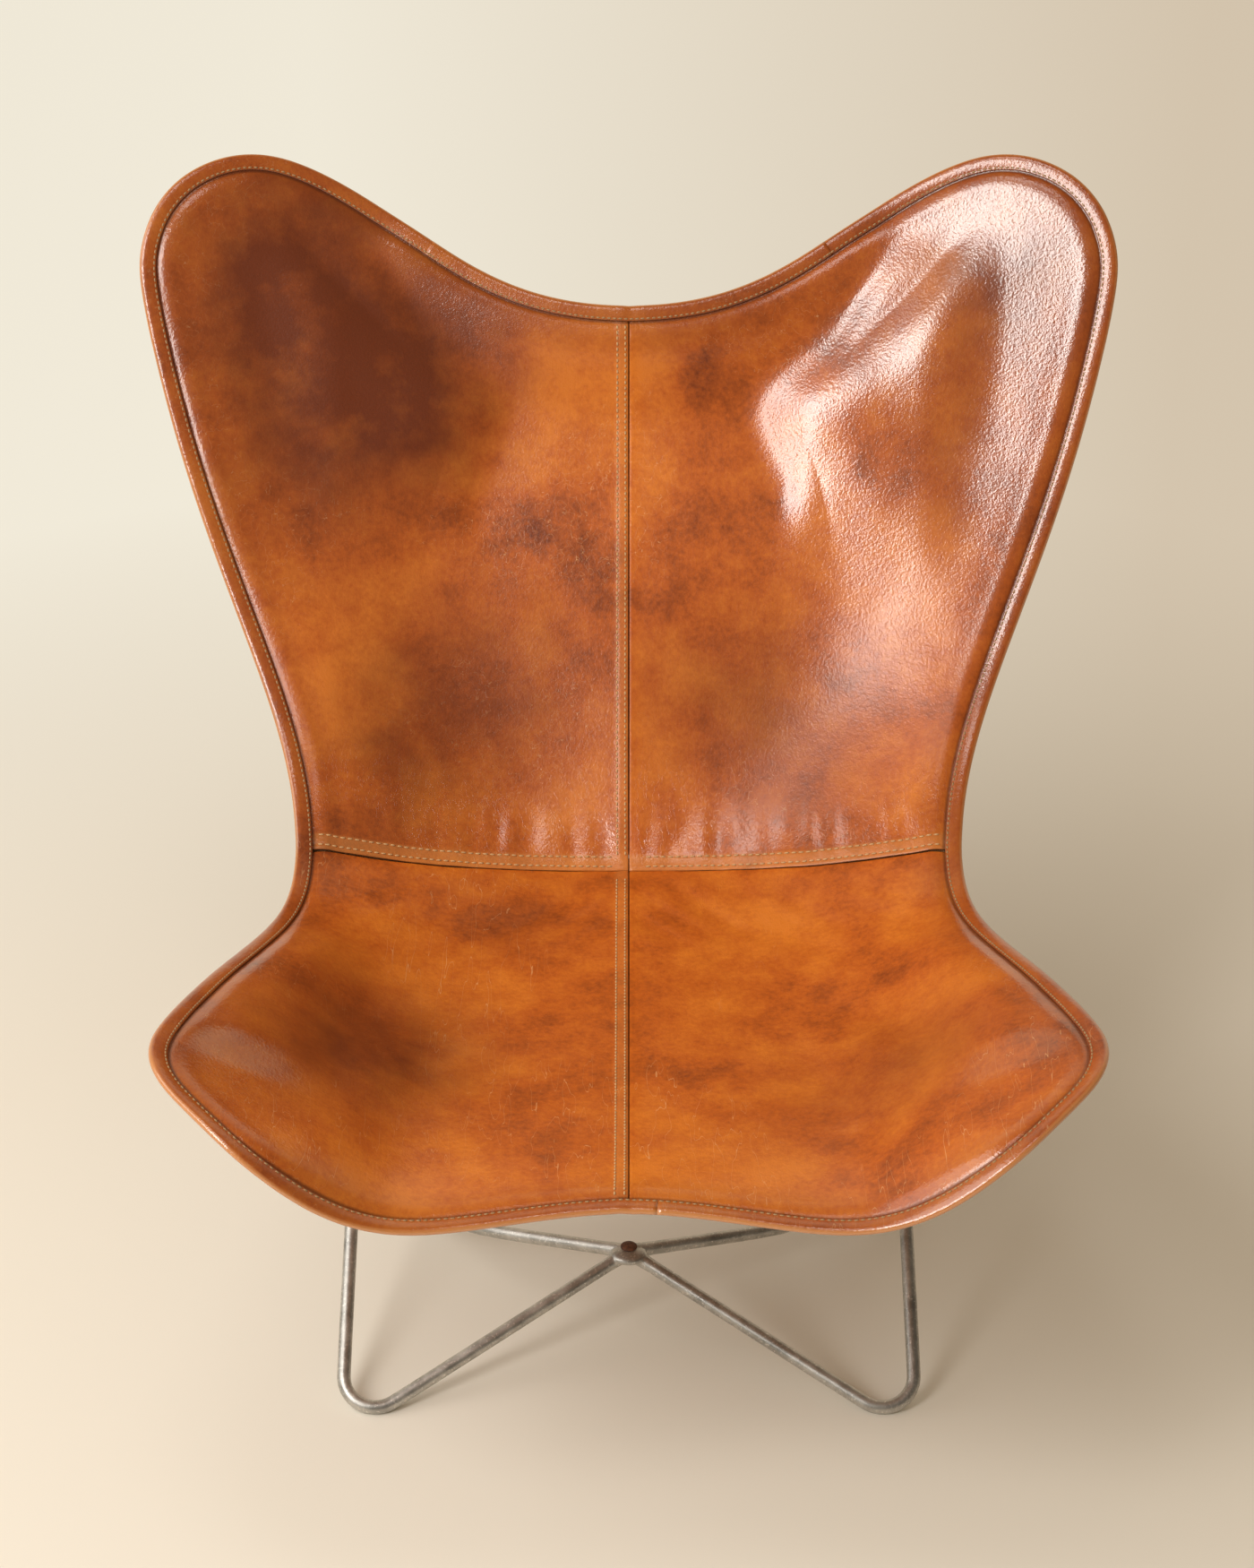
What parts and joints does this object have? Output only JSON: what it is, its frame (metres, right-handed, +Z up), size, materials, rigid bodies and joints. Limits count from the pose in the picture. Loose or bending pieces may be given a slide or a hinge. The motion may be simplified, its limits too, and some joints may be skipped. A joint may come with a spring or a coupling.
{
  "type": "butterfly sling chair",
  "caption": "Lounge chair with a leather sling hung on the arched ends of a bent steel rod frame, low seat and high winged back.",
  "frame": {"origin": "on the floor under the middle of the chair's box", "axes": "+Z up, the sitter faces -Y, +X to the right as seen from the front"},
  "size_m": [0.8976, 0.9312, 0.8922],
  "materials": {
    "steel": "mottled raw steel",
    "leather": "waxed tan leather",
    "edging": "rolled leather binding",
    "lining": "raw leather"
  },
  "bodies": {
    "root": {"ear_bar_left": "steel", "ear_bar_right": "steel", "horn_bar_left": "steel", "horn_bar_right": "steel", "lower_hub": "steel", "upper_hub": "steel", "back_panel_left": "leather", "back_panel_right": "leather", "seat_panel_left": "leather", "seat_panel_right": "leather", "left_binding": "edging", "top_binding": "edging", "right_binding": "edging", "ear_pocket_left": "lining", "ear_pocket_right": "lining", "horn_pocket_left": "lining", "horn_pocket_right": "lining", "waist_strip": "lining", "back_seam_strip": "lining", "seat_seam_strip": "lining"}
  },
  "joints": []
}
